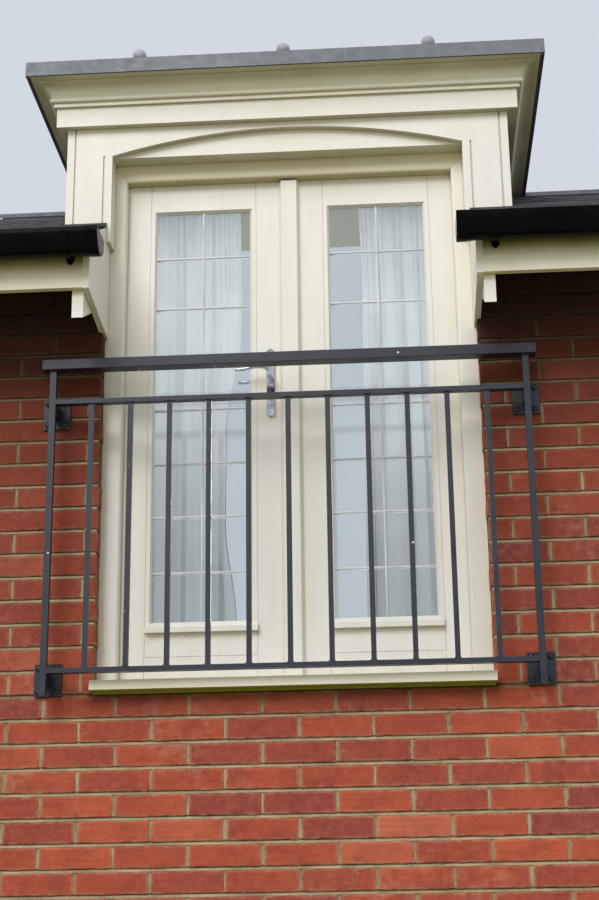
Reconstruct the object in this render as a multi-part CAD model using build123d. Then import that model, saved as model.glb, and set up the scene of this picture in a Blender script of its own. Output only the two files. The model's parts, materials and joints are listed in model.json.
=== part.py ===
from build123d import *
import math
import os

# French doors with a juliet balcony, standing in a brick wall and running up into a lead-roofed dormer.
# Units are millimetres. X runs to the right, Y runs into the building, Z is up.
# The origin is at the foot of the wall, in the middle of its thickness and of the doorway.

# Brickwork
brick_length = 215
brick_height = 65
mortar_joint = 10
brick_count_across = 11
course_count_below_sill = 9
course_count_in_piers = 19
wall_thickness = 290
plaster_thickness = 13
doorway_width = 1232

# Sill and threshold
sill_bed_thickness = 6
sill_nose_height = 30
sill_projection = 45
sill_horn = 4
sill_weathering = 5
drip_groove = 8
threshold_thickness = 30
threshold_nosing = 22

# Door frame
frame_setback = 50
frame_depth = 82
stop_depth = 37.7
frame_jamb_width = 64
frame_rebate = 14
ovolo_radius = 10
frame_head_height = 90

# Door leaves
leaf_height = 1737
leaf_thickness = 44
leaf_gap = 3
leaf_stop_gap = 0.3
outer_stile_width = 90
meeting_stile_width = 112.5
top_rail_width = 95
bottom_rail_width = 175
bottom_board_line = 76
joint_groove_width = 2
joint_groove_depth = 1.5
board_channel_width = 9
glazing_lip = 12
glazing_rebate_depth = 30
bead_width = 21
bead_depth = 10
bead_slope = 7
glass_thickness = 20
glass_edge_clearance = 4

# Trim on the leaves
weather_bar_drop = 15.5
weather_bar_height = 27.5
weather_bar_projection = 18
weather_bar_overlap = 2
weather_bar_nose = 17
cover_strip_width = 72
cover_strip_projection = 20
cover_strip_bevel = 10
cover_strip_head_gap = 5

# Door furniture
handle_offset = 67
plate_width = 25
plate_length = 237
plate_thickness = 9
plate_foot_height = 871
spindle_above_plate_foot = 135
lever_length = 111
lever_standoff = 50
lever_thickness = 11
lever_tip_ball = 12.5
lever_rise = 24
lever_droop = 6
lever_shoulder = 9
neck_diameter = 16
neck_end_cover = 1.5
cylinder_diameter = 17
cylinder_projection = 4
cylinder_drop = 92
hinge_height = 100
hinge_flap_width = 28
hinge_flap_thickness = 2.5
hinge_knuckle_diameter = 10
hinge_end_margin = 170

# Dormer surround
pilaster_width = 155
pilaster_depth = 80
pilaster_foot = 2188
pilaster_lap = 24
pilaster_groove_inset = 28
pilaster_groove_width = 6
pilaster_groove_depth = 4
arch_springing = 2508
arch_rise = 82
arch_crown_width = 22
arch_board_thickness = 22
frieze_height = 72
frieze_projection = 25
frieze_return_thickness = 35

# Cornice profile, as steps out from the frieze and heights above it
cornice_seat = 40
bed_mould_step = 10
bed_mould_height = 14
bead_step = 14
bead_round_height = 16
cavetto_start = 16
cavetto_reach = 43
cavetto_height = 40
crown_fillet_height = 5
corona_reach = 28
corona_height = 6

# Dormer roof
lead_thickness = 6
lead_edge_height = 52
lead_drip = 4
roll_spacing = 489.5
roll_width = 46
roll_height = 43
roll_setback = 3
cheek_lining_thickness = 13
ceiling_thickness = 13

# Main roof
roof_pitch = 28.2
eaves_reach = 345
eaves_height = 2092
slate_thickness = 20
board_thickness = 18
rafter_drop = 140
rafter_width = 38
rafter_inner_gap = 148
ridge_depth = 1000
ridge_board_thickness = 25
ridge_tile_leg = 70
ridge_tile_thickness = 14
wall_plate_width = 100
wall_plate_height = 50

# Eaves
fascia_reach = 300
fascia_thickness = 24
fascia_height = 166
fascia_foot = 1904
end_board_thickness = 20
end_board_reveal_lap = 10
end_board_front_foot = 1902
end_board_back_foot = 1868
rafter_foot_width = 36
rafter_foot_tip = 1812
rafter_foot_heel = 1958
gutter_radius = 57
gutter_thickness = 3
gutter_lip = 14
gutter_centre_reach = 362
gutter_centre_height = 2043
left_gutter_overhang = 56
right_gutter_overhang = 72
stop_end_swell = 1.5
stop_end_step = 17
strap_width = 24
strap_thickness = 4
strap_foot = 1979
strap_top = 2062
cradle_width = 20
cradle_thickness = 4
cradle_clearance = 0.3
bracket_inset = 40
bracket_spacing = 470

# Juliet balcony
balcony_width = 1530
post_size = 20
post_foot = 661
bar_plane_reach = 75
handrail_overhang = 24
handrail_depth = 45
handrail_height = 34
handrail_foot = 1711.5
rail_depth = 26
rail_height = 15
bottom_rail_foot = 728
upper_rail_foot = 1595.5
baluster_size = 16
baluster_count = 11
wall_plate_steel_width = 85
wall_plate_steel_height = 100
wall_plate_steel_thickness = 8
plate_drop = 57.5
arm_width = 20
arm_height = 40

# Curtains
track_end_gap = 7
track_depth = 20
track_height = 20
track_setback = 350
left_curtain_width = 420
right_curtain_width = 370
curtain_depth = 50
curtain_hem_height = 730
soft_clearance = 0.3

# Values that follow from the sizes above
course = brick_height + mortar_joint
wall_half = (brick_count_across * (brick_length + mortar_joint) - mortar_joint) / 2
sill_bed = course_count_below_sill * course
wall_top = sill_bed + course_count_in_piers * course
half_doorway = doorway_width / 2
wall_face = -wall_thickness / 2
wall_back = wall_thickness / 2
plaster_back = wall_back + plaster_thickness
frame_face = wall_face + frame_setback
frame_back = frame_face + frame_depth
stop_back = frame_face + stop_depth
leaf_face = stop_back + leaf_stop_gap
leaf_back = leaf_face + leaf_thickness
sill_top = sill_bed + sill_bed_thickness + sill_nose_height + sill_weathering
leaf_foot = sill_top + leaf_gap
leaf_top = leaf_foot + leaf_height
head_rebate = leaf_top + leaf_gap
head_stop = head_rebate - frame_rebate
head_top = head_stop + frame_head_height
stop_edge = half_doorway - frame_jamb_width
rebate_edge = stop_edge + frame_rebate
leaf_outer = rebate_edge - leaf_gap
leaf_inner = leaf_gap / 2
pane_inner = leaf_inner + meeting_stile_width
pane_outer = leaf_outer - outer_stile_width
pane_foot = leaf_foot + bottom_rail_width
pane_top = leaf_top - top_rail_width
surround_face = frame_face - pilaster_depth
pilaster_inner = half_doorway - pilaster_lap
pilaster_outer = pilaster_inner + pilaster_width
frieze_foot = arch_springing + arch_rise + arch_crown_width
frieze_top = frieze_foot + frieze_height
frieze_face = surround_face - frieze_projection
frieze_half = pilaster_outer + frieze_return_thickness
cornice_reach = cavetto_start + cavetto_reach + corona_reach
cornice_top = (frieze_top + bed_mould_height + bead_round_height + cavetto_height
               + crown_fillet_height + corona_height)
deck_half = frieze_half + cornice_reach
deck_front = frieze_face - cornice_reach
lead_half = deck_half + lead_thickness
lead_front = deck_front - lead_thickness
lead_top = cornice_top - lead_drip + lead_edge_height
slope = math.tan(math.radians(roof_pitch))
plumb = 1 / math.cos(math.radians(roof_pitch))
eaves_front = wall_face - eaves_reach
ridge_y = wall_face + ridge_depth
fascia_face = wall_face - fascia_reach
fascia_back = fascia_face + fascia_thickness
end_board_inner = half_doorway - end_board_reveal_lap
end_board_outer = end_board_inner + end_board_thickness
bar_plane = wall_face - bar_plane_reach
half_balcony = balcony_width / 2
post_x = half_balcony - post_size / 2
half_handrail = half_balcony + handrail_overhang


def slate_top(y):
    """Height of the slate surface at a depth y."""
    return eaves_height + slope * (y - eaves_front)


def slate_under(y):
    return slate_top(y) - slate_thickness * plumb


def board_under(y):
    return slate_under(y) - board_thickness * plumb


def rafter_under(y):
    return board_under(y) - rafter_drop


def depth_where(surface, z):
    """Depth at which one of the sloping roof surfaces reaches the height z."""
    return (z - surface(0)) / slope


deck_meets_slates = depth_where(slate_top, cornice_top)


def ridge_front():
    """Depth of the front edge of the ridge tiles."""
    return ridge_y - ridge_tile_leg * math.cos(math.radians(roof_pitch))


def block(x0, x1, y0, y1, z0, z1):
    return Pos((x0 + x1) / 2, (y0 + y1) / 2, (z0 + z1) / 2) * Box(x1 - x0, y1 - y0, z1 - z0)


def section_plane(x, y=0, z=0):
    """An upright plane across X, drawn on in Y and Z."""
    return Plane(origin=(x, y, z), x_dir=(0, 1, 0), z_dir=(1, 0, 0))


def facing_plane(y, x=0, z=0):
    """An upright plane that faces the front, drawn on in X and Z."""
    return Plane(origin=(x, y, z), x_dir=(1, 0, 0), z_dir=(0, -1, 0))


def run_across(points, x0, x1):
    """A section drawn in Y and Z, run along X."""
    face = section_plane(x0) * make_face(Polyline(*points, close=True))
    return extrude(face, amount=x1 - x0, dir=(1, 0, 0))


def run_inward(points, y0, y1):
    """An outline drawn in X and Z, run along Y."""
    face = facing_plane(y0) * make_face(Polyline(*points, close=True))
    return extrude(face, amount=y1 - y0, dir=(0, 1, 0))


def mirrored(shape):
    return mirror(shape, about=Plane.YZ)


def both_sides(shape):
    return [shape, mirrored(shape)]


def save(name, *shapes):
    os.makedirs("parts", exist_ok=True)
    solids = [solid for shape in shapes for solid in shape.solids()]
    part = solids[0] if len(solids) == 1 else Compound(solids)
    export_step(part, os.path.join("parts", name + ".step"))


def below_slates():
    """Everything under the slate surface, used to end the dormer's returns on the slope."""
    far = ridge_y + eaves_reach
    points = [(eaves_front, slate_top(eaves_front)), (far, slate_top(far)), (far, 0), (eaves_front, 0)]
    return run_across(points, -wall_half, wall_half)


# Wall

def pier_solid():
    return block(half_doorway, wall_half, wall_face, wall_back, sill_bed, wall_top)


def wall_plate_solid():
    return block(end_board_outer, wall_half, frame_face, frame_face + wall_plate_width, wall_top,
                 wall_top + wall_plate_height)


def make_wall():
    save("wall_below_sill", block(-wall_half, wall_half, wall_face, wall_back, 0, sill_bed))
    save("wall_piers", *both_sides(pier_solid()))
    save("wall_plates", *both_sides(wall_plate_solid()))


def make_inner_plaster():
    sheet = block(-wall_half, wall_half, wall_back, plaster_back, 0, wall_top)
    clear = half_doorway - plaster_thickness
    lining = block(clear, half_doorway, frame_back, plaster_back, sill_bed, wall_top)
    doorway = block(-half_doorway, half_doorway, frame_back, plaster_back, sill_bed, wall_top)
    save("inner_plaster", sheet - doorway + lining + mirrored(lining))


# Sill, threshold and frame

def sill_solid():
    nose_front = wall_face - sill_projection
    nose_foot = sill_bed + sill_bed_thickness
    nose_top = nose_foot + sill_nose_height
    groove_front = nose_front + 2 * drip_groove
    points = [(nose_front, nose_foot), (nose_front, nose_top), (leaf_face, sill_top),
              (frame_back, sill_top),
              (frame_back, sill_bed), (wall_face, sill_bed), (wall_face, nose_foot)]
    body = run_across(points, -half_doorway, half_doorway)
    horn_points = [(nose_front, nose_foot), (nose_front, nose_top), (wall_face, sill_surface(wall_face)),
                   (wall_face, nose_foot)]
    horns = run_across(horn_points, -half_doorway - sill_horn, half_doorway + sill_horn)
    groove = Pos(0, groove_front, nose_foot) * Rot(0, 90, 0) * Cylinder(drip_groove / 2, doorway_width)
    return body + horns - groove


def sill_surface(y):
    """Height of the sill's sloping top at a depth y in front of the leaves."""
    nose_front = wall_face - sill_projection
    nose_top = sill_bed + sill_bed_thickness + sill_nose_height
    return nose_top + sill_weathering * (y - nose_front) / (leaf_face - nose_front)


def make_threshold():
    clear = half_doorway - plaster_thickness
    board = block(-clear, clear, frame_back, plaster_back + threshold_nosing, sill_bed,
                  sill_bed + threshold_thickness)
    nose_edges = board.edges().filter_by(Axis.X).group_by(Axis.Y)[-1]
    save("inner_threshold", fillet(nose_edges, threshold_thickness / 3))


def frame_profile(stop, rebate, outer):
    """The frame's section, with its rounded outer edge, given from the doorway's middle outwards."""
    lines = [
        Line((outer, frame_face), (stop + ovolo_radius, frame_face)),
        RadiusArc((stop + ovolo_radius, frame_face), (stop, frame_face + ovolo_radius), ovolo_radius),
        Line((stop, frame_face + ovolo_radius), (stop, stop_back)),
        Line((stop, stop_back), (rebate, stop_back)),
        Line((rebate, stop_back), (rebate, frame_back)),
        Line((rebate, frame_back), (outer, frame_back)),
        Line((outer, frame_back), (outer, frame_face)),
    ]
    return make_face(lines)


def make_frame(sill):
    jamb_face = Pos(0, 0, sill_bed) * frame_profile(stop_edge, rebate_edge, half_doorway)
    jamb = extrude(jamb_face, amount=head_top - sill_bed, dir=(0, 0, 1))
    head_face = Plane(origin=(-half_doorway, 0, 0), x_dir=(0, 0, 1), z_dir=(-1, 0, 0)) * frame_profile(
        head_stop, head_rebate, head_top)
    head = extrude(head_face, amount=doorway_width, dir=(1, 0, 0))
    mitre_rise = head_stop + frame_jamb_width
    mitre_points = [(stop_edge, head_stop), (half_doorway, mitre_rise), (half_doorway, head_top),
                    (-half_doorway, head_top), (-half_doorway, mitre_rise), (-stop_edge, head_stop)]
    mitre = run_inward(mitre_points, frame_face, frame_back)
    jamb = jamb - mitre - sill
    save("frame_jambs", *both_sides(jamb))
    save("frame_head", head & mitre)


# Door leaves

def pane_block(margin, y0, y1):
    """A block over the glazed opening of the right leaf, smaller than it by a margin."""
    return block(pane_inner + margin, pane_outer - margin, y0, y1, pane_foot + margin, pane_top - margin)


def leaf_solid():
    body = block(leaf_inner, leaf_outer, leaf_face, leaf_back, leaf_foot, leaf_top)
    body -= pane_block(glazing_lip, leaf_face, leaf_back)
    body -= pane_block(0, leaf_face, leaf_face + glazing_rebate_depth)
    half = joint_groove_width / 2
    groove_back = leaf_face + joint_groove_depth
    for x in (pane_inner, pane_outer):
        body -= block(x - half, x + half, leaf_face, groove_back, leaf_foot, leaf_top)
    board_line = leaf_foot + bottom_board_line
    body -= block(pane_inner, pane_outer, leaf_face, groove_back, board_line,
                  board_line + board_channel_width)
    return body


def bead_solid():
    ring = pane_block(0, leaf_face, leaf_face + bead_depth)
    wide = bead_width - bead_slope
    outer_face = facing_plane(leaf_face) * pane_rectangle(wide)
    inner_face = facing_plane(leaf_face + bead_depth) * pane_rectangle(bead_width)
    return ring - loft([outer_face, inner_face])


def pane_rectangle(margin):
    width = pane_outer - pane_inner - 2 * margin
    height = pane_top - pane_foot - 2 * margin
    return Pos((pane_inner + pane_outer) / 2, (pane_foot + pane_top) / 2) * Rectangle(width, height)


def glass_solid():
    back = leaf_face + glazing_rebate_depth
    return pane_block(glass_edge_clearance, back - glass_thickness, back)


def weather_bar_solid():
    foot = pane_foot - weather_bar_drop
    front = leaf_face - weather_bar_projection
    points = [(leaf_face, foot), (front, foot), (front, foot + weather_bar_nose),
              (leaf_face, foot + weather_bar_height)]
    return run_across(points, pane_inner - weather_bar_overlap, pane_outer - weather_bar_overlap)


def make_leaves():
    leaf = leaf_solid()
    save("left_leaf", mirrored(leaf))
    save("right_leaf", leaf)
    save("glazing_beads", *both_sides(bead_solid()))
    save("door_glass", *both_sides(glass_solid()))
    save("weather_bars", *both_sides(weather_bar_solid()))
    half = cover_strip_width / 2
    strip_top = head_stop - cover_strip_head_gap
    section = [(-half, leaf_face), (-half + cover_strip_bevel, leaf_face - cover_strip_projection),
               (half - cover_strip_bevel, leaf_face - cover_strip_projection), (half, leaf_face)]
    strip_face = Pos(0, 0, leaf_foot) * make_face(Polyline(*section, close=True))
    save("cover_strip", extrude(strip_face, amount=strip_top - leaf_foot, dir=(0, 0, 1)))


# Door furniture

def handle_plate(surface, outward):
    """A long backplate on one face of the left leaf, with the lock cylinder below the lever."""
    middle = leaf_foot + plate_foot_height + plate_length / 2
    outline = SlotOverall(plate_length, plate_width, rotation=90)
    face = facing_plane(surface, -handle_offset, middle) * outline
    plate = extrude(face, amount=plate_thickness, dir=(0, outward, 0))
    spindle = leaf_foot + plate_foot_height + spindle_above_plate_foot
    cylinder_length = plate_thickness + cylinder_projection
    centre = surface + outward * cylinder_length / 2
    cylinder = Pos(-handle_offset, centre, spindle - cylinder_drop) * Rot(90, 0, 0) * Cylinder(
        cylinder_diameter / 2, cylinder_length)
    return plate + cylinder


def handle_lever(surface, outward):
    """A neck that stands off the plate and a slim lever that rises from it and arches to its tip."""
    spindle = leaf_foot + plate_foot_height + spindle_above_plate_foot
    start = surface + outward * plate_thickness
    reach = lever_standoff - plate_thickness
    neck = Pos(-handle_offset, start + outward * reach / 2, spindle) * Rot(90, 0, 0) * Cylinder(
        neck_diameter / 2, reach)
    depth = start + outward * (reach - neck_end_cover - lever_thickness / 2)
    path = Spline(
        (-handle_offset, depth, spindle),
        (-handle_offset - lever_shoulder, depth, spindle + lever_rise * 0.7),
        (-handle_offset - lever_length / 2, depth, spindle + lever_rise),
        (-handle_offset - lever_length, depth, spindle + lever_rise - lever_droop),
    )
    section = Plane(origin=path @ 0, z_dir=path % 0) * Circle(lever_thickness / 2)
    tip = Pos(*(path @ 1)) * Sphere(lever_tip_ball / 2)
    return neck + sweep(section, path=path) + tip


def make_furniture():
    save("handle_plates", handle_plate(leaf_face, -1), handle_plate(leaf_back, 1))
    save("handle_levers", handle_lever(leaf_face, -1), handle_lever(leaf_back, 1))
    joint = (leaf_outer + rebate_edge) / 2
    span = leaf_height - 2 * hinge_end_margin
    hinges = []
    for share in (0, 0.5, 1):
        middle = leaf_foot + hinge_end_margin + share * span
        foot = middle - hinge_height / 2
        flaps = block(joint - hinge_flap_width, joint + hinge_flap_width, leaf_back,
                      leaf_back + hinge_flap_thickness, foot, foot + hinge_height)
        knuckle_y = leaf_back + hinge_knuckle_diameter / 2
        knuckle = Pos(joint, knuckle_y, middle) * Cylinder(hinge_knuckle_diameter / 2, hinge_height)
        hinges += both_sides(flaps + knuckle)
    save("hinges", *hinges)


# Dormer surround

def make_pilasters():
    body = block(pilaster_inner, pilaster_outer, surround_face, frame_face, pilaster_foot, frieze_foot)
    groove_back = surround_face + pilaster_groove_depth
    half = pilaster_groove_width / 2
    outer_line = pilaster_outer - pilaster_groove_inset
    inner_line = pilaster_inner + pilaster_groove_inset
    body -= block(outer_line - half, outer_line + half, surround_face, groove_back,
                  pilaster_foot, frieze_foot)
    body -= block(inner_line - half, inner_line + half, surround_face, groove_back, pilaster_foot,
                  arch_springing)
    save("pilasters", *both_sides(body))


def make_arch():
    crown = arch_springing + arch_rise
    outline = [
        ThreePointArc((-pilaster_inner, arch_springing), (0, crown), (pilaster_inner, arch_springing)),
        Line((pilaster_inner, arch_springing), (pilaster_inner, frieze_foot)),
        Line((pilaster_inner, frieze_foot), (-pilaster_inner, frieze_foot)),
        Line((-pilaster_inner, frieze_foot), (-pilaster_inner, arch_springing)),
    ]
    face = facing_plane(surround_face) * make_face(outline)
    save("arch_board", extrude(face, amount=arch_board_thickness, dir=(0, 1, 0)))
    tympanum = block(-pilaster_inner, pilaster_inner, surround_face + arch_board_thickness, frame_face,
                     arch_springing, frieze_foot)
    save("tympanum", tympanum)


def make_frieze(slope_cut):
    front = block(-frieze_half, frieze_half, frieze_face, frame_face, frieze_foot, frieze_top)
    back = depth_where(slate_top, frieze_top)
    side = block(pilaster_outer, frieze_half, frame_face, back, frieze_foot, frieze_top)
    save("frieze", front + (side - slope_cut) + (mirrored(side) - slope_cut))


def cornice_section():
    """Bed mould, bead, cavetto and corona, drawn outwards from the frieze's face and up from its top."""
    bead_foot = bed_mould_height
    bead_head = bead_foot + bead_round_height
    cavetto_head = bead_head + cavetto_height
    crown_head = cavetto_head + crown_fillet_height
    top = crown_head + corona_height
    crown = cavetto_start + cavetto_reach
    bend = math.sqrt(0.5)
    cavetto_middle = (crown - cavetto_reach * bend, bead_head + cavetto_height * bend)
    bead_middle = (bead_step + bead_round_height / 2, bead_foot + bead_round_height / 2)
    return make_face([
        Line((-cornice_seat, 0), (bed_mould_step, 0)),
        Line((bed_mould_step, 0), (bed_mould_step, bead_foot)),
        Line((bed_mould_step, bead_foot), (bead_step, bead_foot)),
        ThreePointArc((bead_step, bead_foot), bead_middle, (bead_step, bead_head)),
        Line((bead_step, bead_head), (cavetto_start, bead_head)),
        ThreePointArc((cavetto_start, bead_head), cavetto_middle, (crown, cavetto_head)),
        Line((crown, cavetto_head), (crown, crown_head)),
        Line((crown, crown_head), (cornice_reach, crown_head)),
        Line((cornice_reach, crown_head), (cornice_reach, top)),
        Line((cornice_reach, top), (-cornice_seat, top)),
        Line((-cornice_seat, top), (-cornice_seat, 0)),
    ])


def make_cornice(slope_cut):
    start = deck_meets_slates + cornice_seat
    path = Polyline((frieze_half, start, frieze_top), (frieze_half, frieze_face, frieze_top),
                    (-frieze_half, frieze_face, frieze_top), (-frieze_half, start, frieze_top))
    section = facing_plane(start, frieze_half, frieze_top) * cornice_section()
    swept = sweep(section, path=path, transition=Transition.RIGHT)
    save("cornice", swept - slope_cut)


# Dormer roof, cheeks and ceiling

def make_dormer_roof(slope_cut):
    deck_top = lead_top - lead_thickness
    back = ridge_front()
    deck = block(-deck_half, deck_half, deck_front, back, cornice_top, deck_top)
    save("roof_deck", deck - slope_cut)
    lead = block(-lead_half, lead_half, lead_front, back, cornice_top - lead_drip, lead_top)
    inside = block(-deck_half, deck_half, deck_front, back, cornice_top - lead_drip, deck_top)
    save("lead_roof", lead - inside - slope_cut)
    save("roll_caps", *[roll_solid(place) - slope_cut for place in (-roll_spacing, 0, roll_spacing)])


def roll_solid(place):
    """A lead roll that is round in section, with a domed front end."""
    radius = roll_width / 2
    centre_height = lead_top + roll_height - radius
    start = lead_front + roll_setback + radius
    length = ridge_front() - start
    body = Pos(place, start + length / 2, centre_height) * Rot(90, 0, 0) * Cylinder(radius, length)
    dome = Pos(place, start, centre_height) * Sphere(radius)
    above = block(place - roll_width, place + roll_width, lead_front, ridge_front(), lead_top,
                  lead_top + roll_width)
    return (body + dome) & above


def make_cheeks():
    back = deck_meets_slates
    plate_top = wall_top + wall_plate_height
    plate_back = frame_face + wall_plate_width
    outer_points = [(frame_face, plate_top), (plate_back, plate_top),
                    (plate_back, rafter_under(plate_back)), (back, rafter_under(back)),
                    (back, frieze_top), (frame_face, frieze_top)]
    outer = run_across(outer_points, half_doorway, pilaster_outer)
    clear = half_doorway - cheek_lining_thickness
    lining_points = [(frame_back, wall_top), (plaster_back, wall_top),
                     (plaster_back, rafter_under(plaster_back)), (back, rafter_under(back)),
                     (back, cornice_top), (frame_back, cornice_top)]
    lining = run_across(lining_points, clear, half_doorway)
    upstand = block(half_doorway, frieze_half - cornice_seat, frame_back, back, frieze_top, cornice_top)
    save("dormer_cheeks", *both_sides(outer + lining + upstand))
    ceiling_foot = head_top - ceiling_thickness
    ceiling_back = depth_where(rafter_under, ceiling_foot)
    save("dormer_ceiling", block(-clear, clear, frame_back, ceiling_back, ceiling_foot, head_top))


# Main roof

def roof_layer(top, under, front, inner):
    """One layer of the main roof: a field each side of the dormer, joined above it."""
    def sheet(x0, x1, y0, y1):
        points = [(y0, under(y0)), (y1, under(y1)), (y1, top(y1)), (y0, top(y0))]
        return run_across(points, x0, x1)
    field = sheet(pilaster_outer, wall_half, front, ridge_y)
    field += sheet(inner, pilaster_outer, front, surround_face)
    return field + mirrored(field) + sheet(-wall_half, wall_half, deck_meets_slates, ridge_y)


def make_main_roof():
    save("slates", roof_layer(slate_top, slate_under, eaves_front, end_board_inner))
    save("roof_boards", roof_layer(slate_under, board_under, fascia_face, end_board_outer))
    board_front = ridge_y - ridge_board_thickness
    points = [(fascia_back, rafter_under(fascia_back)), (ridge_y, rafter_under(ridge_y)),
              (ridge_y, board_under(ridge_y)), (fascia_back, board_under(fascia_back))]
    board_points = [(board_front, rafter_under(ridge_y)), (ridge_y, rafter_under(ridge_y)),
                    (ridge_y, board_under(ridge_y)), (board_front, board_under(board_front))]
    frame = run_across(board_points, -wall_half, wall_half)
    second = pilaster_outer + rafter_width + rafter_inner_gap
    for inner in (pilaster_outer, second, wall_half - rafter_width):
        rafter = run_across(points, inner, inner + rafter_width) - wall_plate_solid() - pier_solid()
        frame += rafter + mirrored(rafter)
    save("rafters", frame)
    apex = slate_top(ridge_y)
    drop = ridge_tile_leg * math.sin(math.radians(roof_pitch))
    reach = ridge_y - ridge_front()
    rise = ridge_tile_thickness * plumb
    tile_points = [(ridge_y - reach, apex - drop), (ridge_y, apex), (ridge_y + reach, apex - drop),
                   (ridge_y + reach, apex - drop + rise), (ridge_y, apex + rise),
                   (ridge_y - reach, apex - drop + rise)]
    save("ridge_tiles", run_across(tile_points, -wall_half, wall_half))


# Eaves and gutters

def make_eaves():
    fascia = block(end_board_outer, wall_half, fascia_face, fascia_back, fascia_foot,
                   fascia_foot + fascia_height)
    save("fascia_boards", *both_sides(fascia))
    end_points = [(fascia_face, end_board_front_foot), (frame_face, end_board_back_foot),
                  (frame_face, pilaster_foot), (surround_face, pilaster_foot),
                  (surround_face, slate_under(surround_face)), (fascia_face, slate_under(fascia_face))]
    end_board = run_across(end_points, end_board_inner, end_board_outer)
    save("eaves_end_boards", *both_sides(end_board - pier_solid()))
    foot_points = [(fascia_back, rafter_foot_tip), (wall_face, rafter_foot_heel), (wall_face, wall_top),
                   (frame_face, wall_top), (frame_face, pilaster_foot), (surround_face, pilaster_foot),
                   (surround_face, board_under(surround_face)), (fascia_back, board_under(fascia_back))]
    foot = run_across(foot_points, end_board_outer, end_board_outer + rafter_foot_width)
    save("rafter_feet", *both_sides(foot))


def channel_profile(radius, lip):
    """A half-round with upright lips, about its own centre."""
    return make_face([
        ThreePointArc((-radius, 0), (0, -radius), (radius, 0)),
        Line((radius, 0), (radius, lip)),
        Line((radius, lip), (-radius, lip)),
        Line((-radius, lip), (-radius, 0)),
    ])


def gutter(overhang):
    """A run of gutter on the right, from its stepped stop end to the end of the wall."""
    centre_y = wall_face - gutter_centre_reach
    end = half_doorway - overhang
    length = wall_half - end
    place = section_plane(end, centre_y, gutter_centre_height)
    outer = extrude(place * channel_profile(gutter_radius, gutter_lip), amount=length, dir=(1, 0, 0))
    for steps in (1, 2):
        sleeve = channel_profile(gutter_radius + (3 - steps) * stop_end_swell, gutter_lip)
        outer += extrude(place * sleeve, amount=(1 + steps) * stop_end_step, dir=(1, 0, 0))
    hollow_place = section_plane(end + gutter_thickness, centre_y, gutter_centre_height)
    hollow = extrude(hollow_place * channel_profile(gutter_radius - gutter_thickness, gutter_lip),
                     amount=length, dir=(1, 0, 0))
    return outer - hollow


def make_gutters():
    save("gutters", gutter(right_gutter_overhang), mirrored(gutter(left_gutter_overhang)))
    centre_y = wall_face - gutter_centre_reach
    brackets = []
    for inner in (end_board_outer + bracket_inset - strap_width / 2,
                  end_board_outer + bracket_inset - strap_width / 2 + bracket_spacing):
        brackets += both_sides(gutter_bracket(inner, centre_y))
    save("gutter_brackets", *brackets)


def gutter_bracket(inner, centre_y):
    """A strap on the fascia with a pointed foot, and a cradle under the gutter."""
    middle = inner + strap_width / 2
    point_height = strap_foot + strap_width / 2
    outline = [(inner, strap_top), (inner, point_height), (middle, strap_foot),
               (inner + strap_width, point_height), (inner + strap_width, strap_top)]
    strap = run_inward(outline, fascia_face - strap_thickness, fascia_face)
    inside = gutter_radius + cradle_clearance
    outside = inside + cradle_thickness
    place = section_plane(middle - cradle_width / 2, centre_y, gutter_centre_height)
    cradle = extrude(place * channel_profile(outside, 0.5), amount=cradle_width, dir=(1, 0, 0))
    cradle -= extrude(place * channel_profile(inside, 0.5), amount=cradle_width, dir=(1, 0, 0))
    cradle &= block(inner, inner + strap_width, centre_y - outside, fascia_face, 0, wall_top)
    return strap + cradle


# Juliet balcony

def baluster_places():
    pitch = 2 * post_x / (baluster_count + 1)
    return [-post_x + pitch * (index + 1) for index in range(baluster_count)]


def square_bar(x, size, z0, z1):
    half = size / 2
    return block(x - half, x + half, bar_plane - half, bar_plane + half, z0, z1)


def make_balcony():
    post = square_bar(post_x, post_size, post_foot, handrail_foot)
    save("balcony_posts", *both_sides(post))
    between = post_x - post_size / 2
    half_rail = rail_depth / 2
    balusters = [square_bar(x, baluster_size, bottom_rail_foot + rail_height, upper_rail_foot)
                 for x in baluster_places()]
    save("balusters", *balusters)
    for name, foot in (("bottom_rail", bottom_rail_foot), ("upper_rail", upper_rail_foot)):
        save(name, block(-between, between, bar_plane - half_rail, bar_plane + half_rail, foot,
                         foot + rail_height))
    handrail = block(-half_handrail, half_handrail, bar_plane - handrail_depth / 2,
                     bar_plane + handrail_depth / 2, handrail_foot, handrail_foot + handrail_height)
    save("handrail", fillet(handrail.edges().filter_by(Axis.X), 2))
    brackets = []
    for foot in (bottom_rail_foot - plate_drop, upper_rail_foot - plate_drop):
        brackets += both_sides(wall_bracket(foot))
    save("wall_brackets", *brackets)


def wall_bracket(foot):
    """A plate bolted flat on the brick face, and an arm that carries the post."""
    half = wall_plate_steel_width / 2
    plate_front = wall_face - wall_plate_steel_thickness
    plate = block(post_x - half, post_x + half, plate_front, wall_face, foot,
                  foot + wall_plate_steel_height)
    middle = foot + wall_plate_steel_height / 2
    post_back = bar_plane + post_size / 2
    arm = block(post_x - arm_width / 2, post_x + arm_width / 2, post_back, plate_front,
                middle - arm_height / 2, middle + arm_height / 2)
    return plate + arm


# Curtains

def make_curtains():
    track_foot = head_top - ceiling_thickness - track_height
    front = wall_face + track_setback
    half = half_doorway - cheek_lining_thickness - track_end_gap
    track = block(-half, half, front, front + track_depth, track_foot, track_foot + track_height)
    save("curtain_track", track)
    middle = front + track_depth / 2
    curtain_front, curtain_back = middle - curtain_depth / 2, middle + curtain_depth / 2
    curtain_top = track_foot - soft_clearance
    save("left_curtain", block(-half, left_curtain_width - half, curtain_front, curtain_back,
                               curtain_hem_height, curtain_top))
    save("right_curtain", block(half - right_curtain_width, half, curtain_front, curtain_back,
                                curtain_hem_height, curtain_top))


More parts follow.
